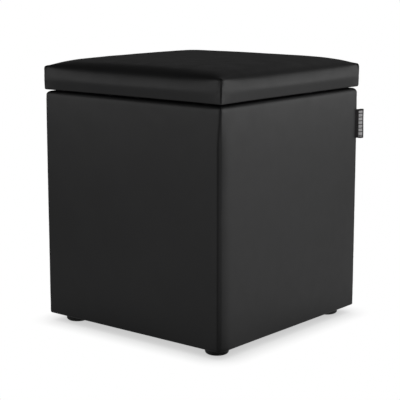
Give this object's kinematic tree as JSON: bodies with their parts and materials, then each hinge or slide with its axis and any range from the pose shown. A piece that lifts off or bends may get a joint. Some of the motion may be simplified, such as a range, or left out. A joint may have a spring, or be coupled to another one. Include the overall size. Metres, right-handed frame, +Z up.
{
  "type": "storage ottoman",
  "caption": "Square upholstered storage ottoman in black leatherette: a padded lid hinged on a lined box, held open by a slotted stay, on round glides.",
  "frame": {"origin": "on the floor, under the middle of the square body", "axes": "+Z up, -Y towards the front, +Y towards the hinges, +X to the right seen from the front"},
  "size_m": [0.3543, 0.3539, 0.4134],
  "materials": {
    "leatherette": "smooth black leatherette with a very fine grain and a soft sheen",
    "foam": "open-cell foam",
    "board": "raw particle board",
    "lining_felt": "black non-woven lining",
    "dust_cloth": "black non-woven dust cloth with pressed dots",
    "label_cloth": "dark woven tape",
    "glide_plastic": "black moulded plastic",
    "bumper_rubber": "soft black rubber",
    "zinc_steel": "zinc-plated pressed steel"
  },
  "bodies": {
    "body": {"base_panel": "board", "body_cover": "leatherette", "carcass_screws": "zinc_steel", "dust_cover": "dust_cloth", "dust_cover_staples": "zinc_steel", "foot_front_left": "glide_plastic", "foot_front_right": "glide_plastic", "foot_rear_left": "glide_plastic", "foot_rear_right": "glide_plastic", "foot_screws": "zinc_steel", "front_foam": "foam", "front_panel": "board", "hinge_body_leaf_left": "zinc_steel", "hinge_body_leaf_right": "zinc_steel", "hinge_body_screws": "zinc_steel", "hinge_pin_left": "zinc_steel", "hinge_pin_right": "zinc_steel", "left_foam": "foam", "left_panel": "board", "lining_staples": "zinc_steel", "rear_foam": "foam", "rear_panel": "board", "right_foam": "foam", "right_panel": "board", "side_label": "label_cloth", "stay_stud": "zinc_steel", "stay_wall_plate": "zinc_steel", "stay_wall_screws": "zinc_steel", "storage_lining": "lining_felt"},
    "lid": {"lid_board": "board", "lid_foam": "foam", "lid_cover": "leatherette", "lid_lining": "lining_felt", "lid_staples": "zinc_steel", "lid_bumper_left": "bumper_rubber", "lid_bumper_right": "bumper_rubber", "hinge_lid_leaf_left": "zinc_steel", "hinge_lid_leaf_right": "zinc_steel", "hinge_lid_screws": "zinc_steel", "stay_lid_bracket": "zinc_steel", "stay_rivet": "zinc_steel", "stay_lid_screws": "zinc_steel"},
    "stay_arm": {"stay_arm": "zinc_steel"}
  },
  "joints": [
    {"name": "lid_hinge", "type": "hinge", "parent": "body", "child": "lid", "pos_m": [0, 0.1715, 0.3657], "axis": [-1, 0, 0], "range_deg": [0, 95]},
    {"name": "stay_pivot", "type": "hinge", "parent": "lid", "child": "stay_arm", "pos_m": [0.147, 0.0718, 0.3579], "axis": [1, 0, 0], "range_deg": [0, 47.5]}
  ],
  "couplings": [
    {"joint": "stay_pivot", "follows": "lid_hinge", "ratio": 0.5}
  ]
}
